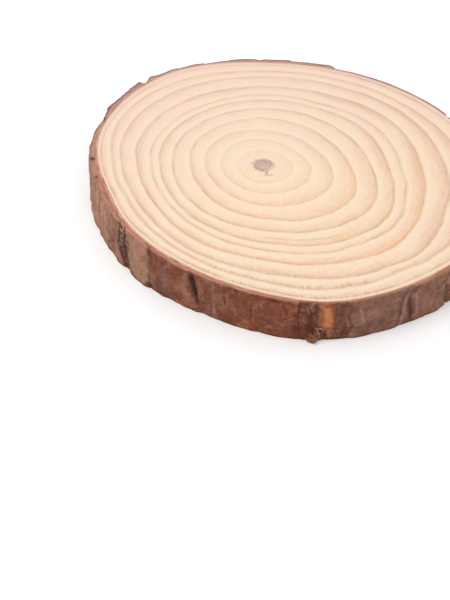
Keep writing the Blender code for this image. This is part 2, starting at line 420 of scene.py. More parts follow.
woodDisc = dict(
    columns=720,
    rowsPerRing=4,
    # outer edge of each growth ring every 30 degrees, from the pith out
    rings=[
        [13, 12, 12, 11.5, 12, 12.3, 12.5, 11.5, 12, 12, 12.5, 13.3],
        [21, 18.7, 18.6, 20, 20.6, 20.4, 19.5, 18.4, 18.3, 19, 20.3, 21.6],
        [30.6, 27, 26.5, 27.2, 28.7, 28.3, 26.6, 25.2, 26, 27.6, 30.2, 32.6],
        [39.5, 36.5, 36.3, 36.6, 36.6, 36, 33.2, 32.4, 34.2, 36.4, 41.4, 44.4],
        [49.2, 46, 45.2, 44.9, 44.4, 44.1, 41.7, 41, 41.9, 44, 49.9, 54.2],
        [56.8, 56, 53, 52.1, 51.3, 49.9, 47.2, 46.4, 48.2, 51.8, 59.2, 63.1],
        [63, 62.1, 57.3, 56.9, 55.8, 54.8, 51.6, 50.4, 52.3, 56.8, 64.5, 68.1],
        [72.4, 71.4, 66.3, 64, 64.1, 62.7, 57.6, 55.7, 58.8, 62.8, 72, 76],
        [83, 80.2, 74.8, 72.6, 73.4, 71.3, 64.8, 61.7, 64.5, 70.4, 81, 85.5],
        [93, 86.3, 81, 78, 80, 77.8, 69.2, 65.6, 68, 75.6, 86.5, 93.5],
    ],
    # where one edge bulges or dips: ring, angle, half width in degrees, mm outward
    ringDents=[
        (5, 319, 5, 0.5), (5, 340, 6, -0.9), (6, 320, 6, 0.8), (6, 340, 6, -0.6), (7, 280, 7, 0.7),
        (7, 314, 9, 1.4), (7, 340, 6, -1), (8, 317, 8, 1.7), (8, 338, 6, -1.1), (9, 200, 8, -0.9),
        (9, 282, 9, 1.3), (9, 308, 5, -1.4), (3, 92, 7, 0.6), (5, 166, 9, 0.7), (6, 166, 10, 0.9),
        (7, 168, 11, 1.1), (8, 168, 9, 0.8),
    ],
    # mm between the last edge and the bark, every 30 degrees
    lastRingInset=[1.5, 1.8, 1.9, 2.1, 2.5, 1.9, 0.9, 1.2, 1.2, 1.3, 1.5, 1.7],
    # for each ring, from the pith out: how dark its edge is, how tan it grows, how dashed
    ringLooks=[
        (0.12, 0.15, 0), (0.18, 0.38, 0.1), (0.3, 0.72, 0.2), (0.34, 0.84, 0.3), (0.54, 0.68, 0.2),
        (0.38, 0.95, 0.6), (0.62, 0.4, 0.2), (0.58, 1.42, 1), (0.38, 1.16, 0.7), (0.38, 1.04, 0.9),
        (0.76, 0.85, 1), (0.2, 0.4, 0.3),
    ],
    # how grey each ring's band is instead of orange, how much of the last edge shows at its start
    ringStarts=[
        (0.3, 0), (0.2, 0.25), (0.1, 0.32), (0.1, 0.32), (0.25, 0.58), (0.05, 0.66), (0.4, 0.74),
        (0, 0.28), (0.6, 0.26), (0.8, 0.6), (1, 0.45), (0.9, 0.22),
    ],
    slowWave=1.2,  # mm the edges wander, in long waves and in short ones
    quickWave=0.5,
    wavySide=318,  # where the edges ripple most
    wavyExtra=2,
    edgeWidth=1.4,
    afterWidth=1.7,
    rowSide=274,  # where short dark dashes stand in rows
    warmSide=295,  # the rings are most orange here
    faintSide=125,  # faintest here
    wideSide=332,  # and widest here
    faintRing=(5.6, 286),  # year and side of a second, faint line
    paleWood=(0.8, 0.64, 0.475),
    freshWood=(0.825, 0.68, 0.51),
    tanWood=(0.752, 0.486, 0.312),
    greyWood=(0.685, 0.49, 0.375),
    ringEdge=(0.52, 0.345, 0.225),
    dashColour=(0.48, 0.32, 0.235),
    outerTint=(0.985, 0.97, 0.99),
    frontTint=(0.998, 0.998, 0.982),
    rearTint=(0.988, 0.976, 1.022),
    coolSide=115,  # the wood is coolest here
    cloudTints=[(1.005, 0.962, 0.965), (0.985, 1.003, 0.975)],
    smallCloudTints=[(1.003, 0.98, 0.935), (0.988, 0.997, 1.04)],
    layerTints=[(0.99, 1, 1), (1, 0.972, 0.945)],
    brimTone=(0.56, 0.27, 0.23),  # just inside the bark on the far side
    brimSide=95,
    # each part of the pith: place, how much it is squeezed along x and y, raggedness, strength
    pithParts=[
        ((-0.3, 0.7, 0), (0.8, 0.86, 1), 5, 0.85),
        ((1.1, -4.7, 0), (5.5, 2, 1), 3, 0.7),
        ((2, -6.5, 0), (1.6, 6, 1), 3, 0.45),
    ],
    pithColour=(0.5, 0.355, 0.31),
    pithSpots=(0.3, 0.185, 0.155),
    roughness=0.6,
    gloss=0.25,
    # where each sawn face lies on the unwrapped sheet: its middle, and the width of faceReach mm
    sheetSpots=dict(top=(0.345, 0.655, 0.34), under=(0.765, 0.235, 0.23)),
    faceReach=96,
)


def ringRadii(angle):
    # radius of every ring edge at these angles, pith first and the wood's edge last
    edge = roundTheClock(rim["woodRadius"], angle)
    rows = [np.zeros_like(angle)]
    rows += [roundTheClock(ring, angle) for ring in woodDisc["rings"]]
    for ring, at, half, out in woodDisc["ringDents"]:
        rows[ring + 1] = rows[ring + 1] + out * np.exp(-(angleGap(angle, at) / half) ** 2)
    rows.append(edge - roundTheClock(woodDisc["lastRingInset"], angle))
    rows.append(edge)
    return np.array(rows)


def woodMaterial():
    bench = nodeBench("sawnWood")
    calc, times, plus, most, centred = bench.calc, bench.times, bench.plus, bench.most, bench.centred
    smooth, toward, grain, polarGrain = bench.smooth, bench.toward, bench.grain, bench.polarGrain
    blend, wash = bench.blend, bench.wash
    year = bench.attribute("year")
    width = bench.attribute("ringWidth")
    radius = bench.attribute("radiusMm")
    bench.way = bench.attribute("pithWay", "Vector")
    # the ring edges wander a little, but not at the bark
    ripple = times(toward(woodDisc["wavySide"], 0.86, 0.97), woodDisc["wavyExtra"])
    slow = times(centred(polarGrain(5, year, 0.7)), woodDisc["slowWave"])
    quick = times(centred(polarGrain(19, year, 1.5)), woodDisc["quickWave"], plus(ripple, 1))
    wander = calc("DIVIDE", plus(slow, quick), most(width, 3))
    age = plus(year, times(wander, smooth(year, 10.7, 11.2, 1, 0)))
    within = calc("FRACT", age)
    # what the tables say of this ring, looked up at its middle
    ringShare = calc("DIVIDE", plus(calc("FLOOR", age), 0.5), len(woodDisc["ringLooks"]))
    dark, tan, dashed = bench.lookUp(ringShare, woodDisc["ringLooks"])
    starts = [(*row, 0) for row in woodDisc["ringStarts"]]
    grey, afterShare = bench.lookUp(ringShare, starts)[:2]
    # fine layers that follow the rings, and streaks that follow the rays
    layers = polarGrain(6.5, radius, 1.15, 3, 0.65)
    broad = polarGrain(4, radius, 0.42)
    rays = polarGrain(90, radius, 0.09, 3, 0.65)
    dashes = polarGrain(78, radius, 0.35, 2, 0.6)
    fineDashes = polarGrain(140, radius, 0.42, 2, 0.6)
    patches = polarGrain(2.4, year, 0.9)
    streak = smooth(times(plus(dashes, fineDashes), 0.5), 0.38, 0.62)
    front = toward(woodDisc["rowSide"], 0.72, 0.97)
    dashed = times(dashed, smooth(front, 0, 1, 0.3, 1))
    warm = toward(woodDisc["warmSide"], 0.05, 0.75)
    rear = toward(woodDisc["faintSide"], 0.05, 0.75)
    wide = toward(woodDisc["wideSide"], 0.55, 0.95)
    # tan grows toward each ring's edge
    start = calc("SUBTRACT", smooth(patches, 0.3, 0.7, 0.56, 0.32), times(wide, 0.18))
    tanShare = smooth(plus(within, times(centred(layers), 0.5)), start, 1.05)
    tanShare = times(tanShare, tan, smooth(rear, 0, 1, 1, 0.6))
    tanShare = times(tanShare, smooth(patches, 0.25, 0.75, 0.72, 1.06))
    tanShare = times(tanShare, smooth(layers, 0.25, 0.75, 0.68, 1.28))
    uneven = times(dashed, centred(streak), 0.9)
    tanShare = times(tanShare, plus(uneven, 0.95), clamp=True)
    # soft dark line at the edge that comes and goes
    toEdge = times(calc("SUBTRACT", 1, within), width)
    pastEdge = times(within, width)
    line = smooth(toEdge, 0, woodDisc["edgeWidth"], 1, 0)
    after = smooth(pastEdge, 0, woodDisc["afterWidth"], 1, 0)
    after = times(after, after, afterShare)
    tanShare = most(tanShare, times(after, 0.8), clamp=True)
    line = most(times(line, dark), after)
    line = times(line, smooth(streak, 0, 1, 0.75, 1.1))
    line = times(line, smooth(rear, 0, 1, 1, 0.65))
    line = times(line, smooth(broad, 0.3, 0.7, 0.35, 1.3), clamp=True)
    fresh = times(smooth(pastEdge, 0.2, 3.4, 1, 0), smooth(year, 10.8, 11, 1, 0.3))
    colour = blend(fresh, woodDisc["paleWood"], woodDisc["freshWood"])
    grey = most(grey, smooth(warm, 0, 1, 0.85, 0))
    greyShare = times(grey, smooth(broad, 0.3, 0.7, 1.3, 0.8), clamp=True)
    bandTone = blend(greyShare, woodDisc["tanWood"], woodDisc["greyWood"])
    colour = blend(tanShare, colour, bandTone)
    faintYear, faintSide = woodDisc["faintRing"]
    faint = times(calc("ABSOLUTE", calc("SUBTRACT", age, faintYear)), width)
    faint = times(smooth(faint, 0.1, 1, 0.35, 0), toward(faintSide, 0.93, 0.97))
    line = most(line, faint)
    colour = blend(line, colour, woodDisc["ringEdge"])
    # rows of short dark dashes on one side
    row = smooth(toEdge, 0.7, 2.3, 1, 0)
    row = times(row, smooth(fineDashes, 0.42, 0.66), smooth(dashes, 0.3, 0.58))
    comes = smooth(polarGrain(9, year, 1.1), 0.38, 0.56, 0.25, 1)
    row = times(row, dashed, front, comes, 0.85)
    row = times(row, smooth(year, 6.6, 8.8), clamp=True)
    colour = blend(row, colour, woodDisc["dashColour"])
    brim = times(smooth(year, 11, 12), toward(woodDisc["brimSide"], 0.2, 0.9), 0.45)
    colour = blend(brim, colour, woodDisc["brimTone"])
    # outer rings are pinker, the rear a little cooler, and faint clouds lie all over
    colour = wash(colour, smooth(radius, 30, 72), (1, 1, 1), woodDisc["outerTint"])
    coolRear = toward(woodDisc["coolSide"], -0.8, 0.9)
    colour = wash(colour, coolRear, woodDisc["frontTint"], woodDisc["rearTint"])
    flat = bench.vector("SCALE", bench.way, radius)
    cloud = smooth(grain(flat, 0.055, 3, 0.55), 0.35, 0.65)
    colour = wash(colour, cloud, *woodDisc["cloudTints"])
    colour = wash(colour, smooth(layers, 0.3, 0.7), *woodDisc["layerTints"])
    cloud = smooth(grain(flat, 0.21, 3, 0.6), 0.35, 0.65)
    colour = wash(colour, cloud, *woodDisc["smallCloudTints"])
    rays = calc("SUBTRACT", smooth(rays, 0.25, 0.75, 0.965, 1.025), 1)
    colour = bench.shade(colour, plus(1, times(rays, warm)))
    # pith: a ragged oval, with a small faint foot on the near side
    ragged = centred(grain(flat, 0.45, 3, 0.7))
    shares = []
    for place, stretch, roughEdge, strength in woodDisc["pithParts"]:
        gap = bench.vector("MULTIPLY", bench.vector("SUBTRACT", flat, place), stretch)
        gap = plus(bench.vector("LENGTH", gap), times(ragged, roughEdge))
        shares.append(smooth(gap, 2.7, 4.9, strength, 0))
    speckled = plus(grain(flat, 0.75, 3, 0.75), smooth(radius, 1, 4.5, 0.1, -0.02))
    pithTone = blend(smooth(speckled, 0.42, 0.6), woodDisc["pithSpots"], woodDisc["pithColour"])
    colour = blend(most(*shares), colour, pithTone)
    bench.coat(colour, woodDisc["roughness"], woodDisc["gloss"])
    bench.bump(plus(times(layers, 0.6), times(line, 0.5)), 0.08, 0.0003)
    return bench.material


def makeWoodDisc():
    columns = woodDisc["columns"]
    per = woodDisc["rowsPerRing"]
    reach = woodDisc["faceReach"]
    angle = np.arange(columns) * 360 / columns
    edges = ringRadii(angle)
    radii, years, widths = [], [], []
    for ring in range(len(edges) - 1):
        for row in range(1, per + 1):
            share = row / per
            radii.append(edges[ring] + (edges[ring + 1] - edges[ring]) * share)
            years.append(np.full(columns, ring + share))
            widths.append(edges[ring + 1] - edges[ring])
    rows = len(radii)
    # the middle point first, then the rings outward, the same on both faces
    facts = dict(
        year=np.concatenate([[0], *years]),
        ringWidth=np.concatenate([[widths[0].mean()], *widths]),
        radiusMm=np.concatenate([[0], *radii]),
    )
    cosine = np.concatenate([[1], np.tile(np.cos(np.radians(angle)), rows)])
    sine = np.concatenate([[0], np.tile(np.sin(np.radians(angle)), rows)])
    ways = np.stack([cosine, sine, np.zeros_like(sine)], 1)
    x = pithX + facts["radiusMm"] * cosine
    y = pithY + facts["radiusMm"] * sine
    places, faces, spots = [], [], []
    for side, z in (("top", rim["thickness"]), ("under", 0.0)):
        middle = len(places)
        places.extend(zip(x, y, np.full_like(x, z)))
        sheetX, sheetY, wide = woodDisc["sheetSpots"][side]
        spots.extend(zip(sheetX + wide * x / reach, sheetY + wide * y / reach))
        first = middle + 1
        around = [(middle, first + column, first + (column + 1) % columns) for column in range(columns)]
        for row in range(rows - 1):
            around += band(first + row * columns, first + (row + 1) * columns, columns)
        faces += around if side == "top" else [face[::-1] for face in around]
    sheet = [spots[corner] for face in faces for corner in face]
    # the wall behind the bark gets a narrow strip in a free corner of the sheet
    underRim = len(places) - columns
    faces += band(underRim - 1 - rows * columns, underRim, columns)
    for column in range(columns):
        left = 0.72 + 0.26 * column / columns
        right = left + 0.26 / columns
        sheet.extend([(left, 0.99), (left, 0.975), (right, 0.975), (right, 0.99)])
    piece = placePiece("woodDisc", places, faces, sheet, woodMaterial())
    for name, values in facts.items():
        store(piece.data, name, np.tile(values, 2))
    store(piece.data, "pithWay", np.tile(ways, (2, 1)), "FLOAT_VECTOR")
    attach(piece, "root")
    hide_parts("wood_slice")
    print("wood disc", len(piece.data.vertices), "points")


makeWoodDisc()


# Bark

barkCoat = dict(
    columns=1200,
    wallRows=42,
    stripRows=6,
    sheetLines=(4, 0.985, 0.248, 0.235),  # on the unwrapped sheet: how many, top, step down, height
    bend=0.4,  # degrees the cracks wander in long waves and in short ones
    jitter=0.18,
    flakeCount=420,
    flakeTall=1.3,
    flakeSizes=(0.55, 1.7),
    flakeSeed=8,
    # the marks of each kind: angle at the upper and lower end, mm below the top where it
    # starts and ends, half width in mm, strength
    marks=dict(
        # dark marks: the furrows' own dark with painted shade in them
        dark=[
            (176, 176.3, -1, 1.2, 1, 0.8), (186, 186.2, -1, 1, 0.8, 0.6),
            (194.5, 194.6, 0, 15, 0.9, 0.35), (209, 202.5, 12, 20, 1.1, 0.5),
            (211.4, 211.6, 0, 11, 0.8, 0.85), (214.6, 215.6, 0.5, 13, 0.9, 0.85),
            (212.2, 216.6, 10.5, 22.5, 2, 0.65), (211.2, 215.8, 9.5, 22.5, 1.1, 1),
            (213.8, 217.4, 10.5, 22.5, 1.2, 1), (217, 218.5, 5, 22, 0.9, 0.35),
            (219.5, 220.2, 4, 15, 0.7, 0.3), (225.6, 224, 14, 20, 0.6, 0.3),
            (228, 228, -1, 4.5, 0.9, 0.85), (228, 228.2, 4, 22, 0.6, 0.4),
            (228, 228.3, 18.5, 22.5, 1.7, 0.9), (245.3, 247.7, 3.5, 17, 1.5, 1),
            (244.8, 245.6, -0.5, 6, 0.8, 0.75), (247.6, 248.6, 15.5, 21, 0.6, 0.4),
            (250.4, 250.8, 2, 16, 0.5, 0.25), (252.4, 252.6, 7, 20, 0.5, 0.35),
            (257.3, 256.9, 3.5, 14, 0.4, 0.3), (264.9, 265.1, 7, 14, 0.35, 0.55),
            (260.2, 262.6, 13.5, 21.5, 0.35, 0.35), (272.8, 273.2, 5, 9, 0.4, 0.35),
            (276.8, 277, 5, 21, 0.6, 0.4), (278, 277.5, 0, 10, 0.5, 0.75),
            (277.4, 278.4, 9, 21, 0.5, 0.65), (280.4, 280, 8, 21, 0.9, 0.45),
            (282.3, 282.4, 0.5, 15, 0.7, 0.6), (287, 287.2, 0, 21, 0.45, 0.45),
            (284.6, 285.4, 16.5, 22, 0.7, 0.6), (291.2, 290.2, 0, 9, 0.45, 0.45),
            (290.2, 291.9, 8.5, 15, 0.6, 0.8), (291.7, 290.6, 14, 21.5, 0.7, 0.75),
            (298.6, 299.4, 0, 5, 0.5, 0.25), (306, 304.5, 0, 7, 0.5, 0.65),
            (304.6, 304.1, 6, 22, 0.55, 0.65), (308.6, 306.5, 0, 7, 0.5, 0.7),
            (306.8, 308, 5, 20, 0.8, 0.4), (311.4, 310.6, 0, 5, 0.5, 0.3),
            (317.3, 319.2, 7.5, 21, 1.1, 0.85),
        ],
        light=[
            (238, 234.8, 0.5, 5.5, 0.7, 0.35), (243.6, 243, 1, 14, 1.6, 0.22),
            (253.1, 253.5, 0, 22, 0.9, 0.2), (257.9, 257.5, 3.5, 13, 0.5, 0.16),
            (265.5, 265.7, 8, 18, 0.5, 0.12), (279.2, 280.6, 1.5, 7, 0.45, 0.22),
            (281.9, 281.2, -0.5, 3, 0.5, 0.6), (280.6, 281.6, 1, 6, 0.5, 0.3),
            (292.8, 294.6, 3, 14, 0.6, 0.4), (305.6, 305.2, 3, 21, 0.8, 0.35),
            (308.2, 309.2, 4, 18, 0.6, 0.38),
        ],
        red=[
            (209.8, 208, 3, 20, 2.4, 0.75), (244, 244.4, 1, 5, 1.4, 0.7),
            (248.6, 249, 0, 21, 1.5, 0.6), (272.5, 273.5, 4, 17, 3.2, 0.45),
        ],
        grey=[
            (233.5, 236.5, 5, 21, 4.5, 0.75), (229.5, 230.5, 9, 21, 2, 0.5),
            (307, 308.3, 0, 22, 2.4, 0.8),
        ],
        deep=[
            (266, 267, 0.6, 1.6, 3.5, 0.8), (270.5, 271.5, 0.8, 2.2, 3.5, 0.85),
            (273.8, 275.2, 2.5, 8.5, 0.7, 0.7), (276.2, 273.6, 8, 11, 0.7, 0.7),
            (258, 262, 0.5, 1.5, 4, 0.6), (277, 281, 13, 23, 4, 0.6), (280, 280.5, 0, 20, 3.4, 0.55),
            (281, 281.2, 5, 20, 1.8, 0.9), (288.6, 288.9, 0, 22, 2.3, 0.52),
            (289.6, 289.2, 12, 22, 1.6, 0.75), (306.4, 307.9, 6, 20.5, 1.4, 0.75),
        ],
        resin=[
            (284.4, 284.7, -0.8, 16, 3.3, 0.65), (284.8, 285.3, 2.5, 14, 2.5, 1),
            (285.7, 285.9, 12, 21, 1.2, 0.65),
        ],
        crumb=[
            (212.8, 213.6, 0.5, 12, 2.9, 1), (283.4, 282.2, 13, 22.5, 2.3, 0.9),
            (288.5, 289.5, 18.5, 22, 1.8, 0.6),
        ],
        lump=[(281.9, 280.9, 17, 24, 3, 1)],
    ),
    drawnSpan=(165, 325),  # the marks are drawn one by one here and fall by chance elsewhere
    chanceMarks=60,
    # from each angle on: how tan the bark is, how red, how grey, how flaky
    zones=[
        (165, 0.75, 0.55, 0, 0.6), (186, 0.82, 0.25, 0, 0.4), (203, 0.65, 0.55, 0.1, 0.5),
        (218.6, 0.76, 0.25, 0.05, 0.1), (228.2, 0.08, 0.85, 0.15, 0.2), (239, 0.1, 0.85, 0.05, 0.3),
        (248, 0.15, 0.6, 0.1, 0.45), (256, 0.04, 0.8, 0, 0.45), (277, 0, 0.8, 0.15, 0.9),
        (287.6, 0.1, 0.3, 0.15, 0.6), (291, 0.2, 0.25, 0.4, 0.25), (309, 0.36, 0.35, 0.22, 0.3),
        (319, 0.15, 0.5, 0.2, 0.6),
    ],
    otherZones=(330, 520, 8, 22),  # the rest falls by chance: from, to, widths
    zoneSeed=5,
    zoneSpread=dict(red=1.6, tan=1.3, grey=1.2),  # how uneven each of them is
    # mm that each thing stands out, or is cut in
    relief=dict(flake=0.36, swell=0.2, speck=0.06, crumb=0.8, dark=0.35, light=0.28,
                resin=0.75, lump=1.6, lumpCrumb=2.4),
    flowLines=15,
    redBrown=(0.172, 0.048, 0.024),
    plainBrown=(0.165, 0.074, 0.046),
    tanBark=(0.355, 0.19, 0.13),
    greyFilm=(0.176, 0.102, 0.092),
    # dark of the cracks' insides, partly painted shade
    shadedCrack=(0.036, 0.015, 0.014),
    redMark=(0.23, 0.075, 0.045),
    deepBrown=(0.082, 0.02, 0.009),
    paleCrumb=(0.34, 0.2, 0.145),
    lumpTone=(0.27, 0.105, 0.06),
    paleFlake=(0.44, 0.275, 0.21),
    resin=(0.46, 0.175, 0.066),
    resinDark=(0.265, 0.086, 0.034),
    sawnPeach=(0.61, 0.355, 0.25),
    sawnBark=(0.39, 0.172, 0.118),
    sawnDark=(0.26, 0.105, 0.07),
    sawnLipHighlight=(0.48, 0.215, 0.145),
    dullLip=(0.33, 0.155, 0.11),
    litSide=225,  # a painted highlight makes the strip's outside palest here
    farSide=95,  # pinker on the far side, and purple at its outside
    sawnRear=(0.485, 0.272, 0.215),
    rearOutline=(0.205, 0.108, 0.122),
    # small painted shadows on the sawn strip, mostly where cracks notch it: angle, share across it,
    # size, strength
    stripSpots=[
        (149, 0.93, 1, 1), (154.5, 0.95, 0.9, 0.9), (176, 0.72, 1, 1), (186, 0.74, 0.7, 0.9),
        (195.5, 0.62, 0.5, 0.6), (203, 0.9, 0.5, 0.4),
    ],
    roughness=0.8,
    resinRoughness=0.45,
    gloss=0.08,
)


def barkMarks(angle, height, radius, wobble):
    # how strongly each kind of mark shows at every spot
    marks = [(kind, *mark) for kind, every in barkCoat["marks"].items() for mark in every]
    drawnFrom, drawnTo = barkCoat["drawnSpan"]
    chance = random.Random(barkCoat["zoneSeed"])
    # the other cracks get dark marks too, painted shade along them
    for crackAngle, drift, top, bottom, *size in allCracks():
        if drawnFrom < crackAngle < drawnTo:
            continue
        start = (1 - top) * rim["thickness"] + chance.uniform(-1, 7)
        end = (1 - bottom) * rim["thickness"] - chance.uniform(-1, 9)
        half = chance.uniform(0.4, 0.9)
        strength = chance.uniform(0.25, 0.8)
        marks.append(("dark", crackAngle, crackAngle + drift, start, end, half, strength))
    for _ in range(barkCoat["chanceMarks"]):
        upper = chance.uniform(drawnTo, drawnFrom + 360)
        start = chance.uniform(-1, 16)
        kind = chance.choice(("dark", "dark", "light", "red", "grey"))
        half = chance.uniform(0.4, 1) if kind in ("dark", "light") else chance.uniform(2, 4.5)
        lower = upper + chance.uniform(-1.5, 1.5)
        end = start + chance.uniform(3, 13)
        strength = chance.uniform(0.1, 0.3) if kind == "light" else chance.uniform(0.25, 0.7)
        marks.append((kind, upper, lower, start, end, half, strength))
    found = {kind: np.zeros_like(angle) for kind in barkCoat["marks"]}
    below = (1 - height) * rim["thickness"]
    for kind, upper, lower, start, end, half, strength in marks:
        share = np.clip((below - start) / (end - start), 0, 1)
        gapDeg = angleGap(angle, upper + (lower - upper) * share)
        gap = np.radians(gapDeg) * radius + wobble * min(0.55 + 0.25 * half, 1.2)
        # marks taper to their ends, but resin doesn't; wide dark ones have crisp sides
        slim = 1 if kind == "resin" else 0.6 + 0.4 * np.sin(np.pi * share)
        blunt = 2 if kind == "resin" else 2.5
        if kind == "dark" and half > 1.2:
            blunt = 4
        mask = strength * np.exp(-np.abs(gap / (half * slim)) ** blunt)
        mask = mask * fade(below + wobble, start - 0.7, start + 0.7)
        mask = mask * (1 - fade(below + wobble, end - 1.2, end + 0.8))
        found[kind] = np.maximum(found[kind], mask)
    return found


def barkFlakes(angle, height, radius, wobble):
    # irregular flakes round scattered centres: their level and tint, and the distance to their edge
    chance = np.random.default_rng(barkCoat["flakeSeed"])
    count = barkCoat["flakeCount"]
    turns = chance.uniform(0, 2 * np.pi, count)
    lows = chance.uniform(-4, rim["thickness"] + 4, count)
    levels = chance.uniform(-1, 1, count)
    tints = chance.uniform(-1, 1, count)
    sizes = chance.uniform(*barkCoat["flakeSizes"], count)
    around = np.radians(angle)
    low = height * rim["thickness"]
    nearest = np.full(angle.shape, 1e9)
    second = nearest
    closest = np.zeros(angle.shape, int)
    for flake in range(count):
        gap = (around - turns[flake] + np.pi) % (2 * np.pi) - np.pi
        gap = gap * radius + 2.4 * wobble[0]
        rise = (low - lows[flake] + 2.4 * wobble[1]) / barkCoat["flakeTall"]
        distance = np.sqrt(gap * gap + rise * rise) / sizes[flake]
        closer = distance < nearest
        second = np.where(closer, nearest, np.minimum(second, distance))
        nearest = np.where(closer, distance, nearest)
        closest[closer] = flake
    return levels[closest], tints[closest], second - nearest


def barkZones(angle, wobble):
    zones = list(barkCoat["zones"])
    chance = random.Random(barkCoat["zoneSeed"])
    where, end, narrow, wide = barkCoat["otherZones"]
    while where < end:
        tan, red = chance.uniform(0.05, 0.6), chance.uniform(0.2, 0.8)
        grey, flaky = chance.uniform(0, 0.35), chance.uniform(0.3, 0.9)
        zones.append((where, tan, red, grey, flaky))
        where += chance.uniform(narrow, wide)
    first = zones[0][0]
    place = (angle + 1.2 * wobble - first) % 360
    shares = [np.full_like(angle, value) for value in zones[0][1:]]
    for zone in zones[1:]:
        past = fade(place, (zone[0] - first) - 0.5, (zone[0] - first) + 0.5)
        shares = [share * (1 - past) + value * past for share, value in zip(shares, zone[1:])]
    return shares


def barkWall(angle, height, wood):
    # the bark's surface with everything that is stored on it
    turn = np.radians(angle)
    x, y = np.cos(turn), np.sin(turn)
    low = height * rim["thickness"] / 80  # same unit as x and y
    wander = noiseAt(x * 9, y * 9, low * 7, 2)
    jitter = noiseAt(x * 38 + 3, y * 38, low * 30, 3)
    swell = noiseAt(x * 13 + low * 5, y * 13 - low * 4, low * 12 + 7, 3)
    specks = noiseAt(x * 110, y * 110 + 5, low * 90, 2)
    crumbs = noiseAt(x * 55 + 9, y * 55, low * 55, 3)
    bent = angle + barkCoat["bend"] * wander + barkCoat["jitter"] * jitter
    out, depth = barkOut(bent, height)
    marks = barkMarks(angle + barkCoat["bend"] * 0.6 * wander, height, wood, 0.55 * jitter)
    uneven = (jitter + wander, wander - 0.6 * jitter)
    flakeLevel, flakeTint, flakeEdge = barkFlakes(angle, height, wood, uneven)
    tan, red, grey, flaky = barkZones(angle, 0.8 * jitter + 0.4 * wander)
    rise = barkCoat["relief"]
    thin = np.minimum(barkThickness(angle) / rim["fullRibBark"], 1)
    calm = 1 - 0.7 * marks["resin"]
    flake = flakeLevel * fade(flakeEdge, 0, 0.5) * flaky
    rough = rise["flake"] * flake + rise["swell"] * swell + rise["speck"] * specks
    inCrack = np.clip(depth / 1.5 + marks["crumb"], 0, 1)
    out = out + thin * calm * rough + rise["crumb"] * crumbs * inCrack
    out = out - thin * rise["dark"] * marks["dark"] + rise["light"] * marks["light"]
    out = out + rise["resin"] * marks["resin"]
    out = out + marks["lump"] * (rise["lump"] + rise["lumpCrumb"] * crumbs)
    out = np.maximum(out, 0.55 * rim["thinnestBark"])
    facts = dict(crackDepth=depth, flake=flake, flakeTint=flakeTint, flakeEdge=flakeEdge,
                 crumb=crumbs, tanBark=tan, redBark=red, greyBark=grey, flaky=flaky)
    facts.update({kind + "Mark": mask for kind, mask in marks.items()})
    return out, facts


